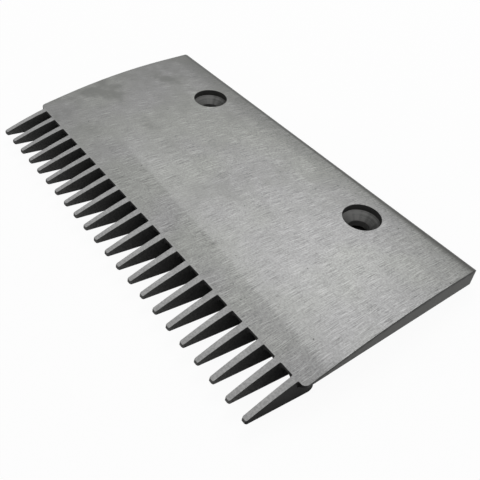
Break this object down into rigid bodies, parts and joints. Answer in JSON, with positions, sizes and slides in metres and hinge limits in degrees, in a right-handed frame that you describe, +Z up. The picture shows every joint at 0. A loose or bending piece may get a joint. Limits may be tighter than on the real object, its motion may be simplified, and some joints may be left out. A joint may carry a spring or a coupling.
{
  "type": "escalator comb plate",
  "caption": "Cast aluminium comb plate segment for an escalator landing: a ramped tread plate with a row of tapered teeth and countersunk screw holes.",
  "frame": {"origin": "on the seating face, halfway between the two screw holes", "axes": "+X along the row of teeth, +Y away from the teeth towards the rear edge, +Z up, out of the screw holes"},
  "size_m": [0.1998, 0.1101, 0.0169],
  "materials": {
    "cast_aluminium": "linished on the top of the plate, with fine lines from front to rear; matte as cast elsewhere"
  },
  "bodies": {
    "root": {"comb_plate": "cast_aluminium"}
  },
  "joints": []
}
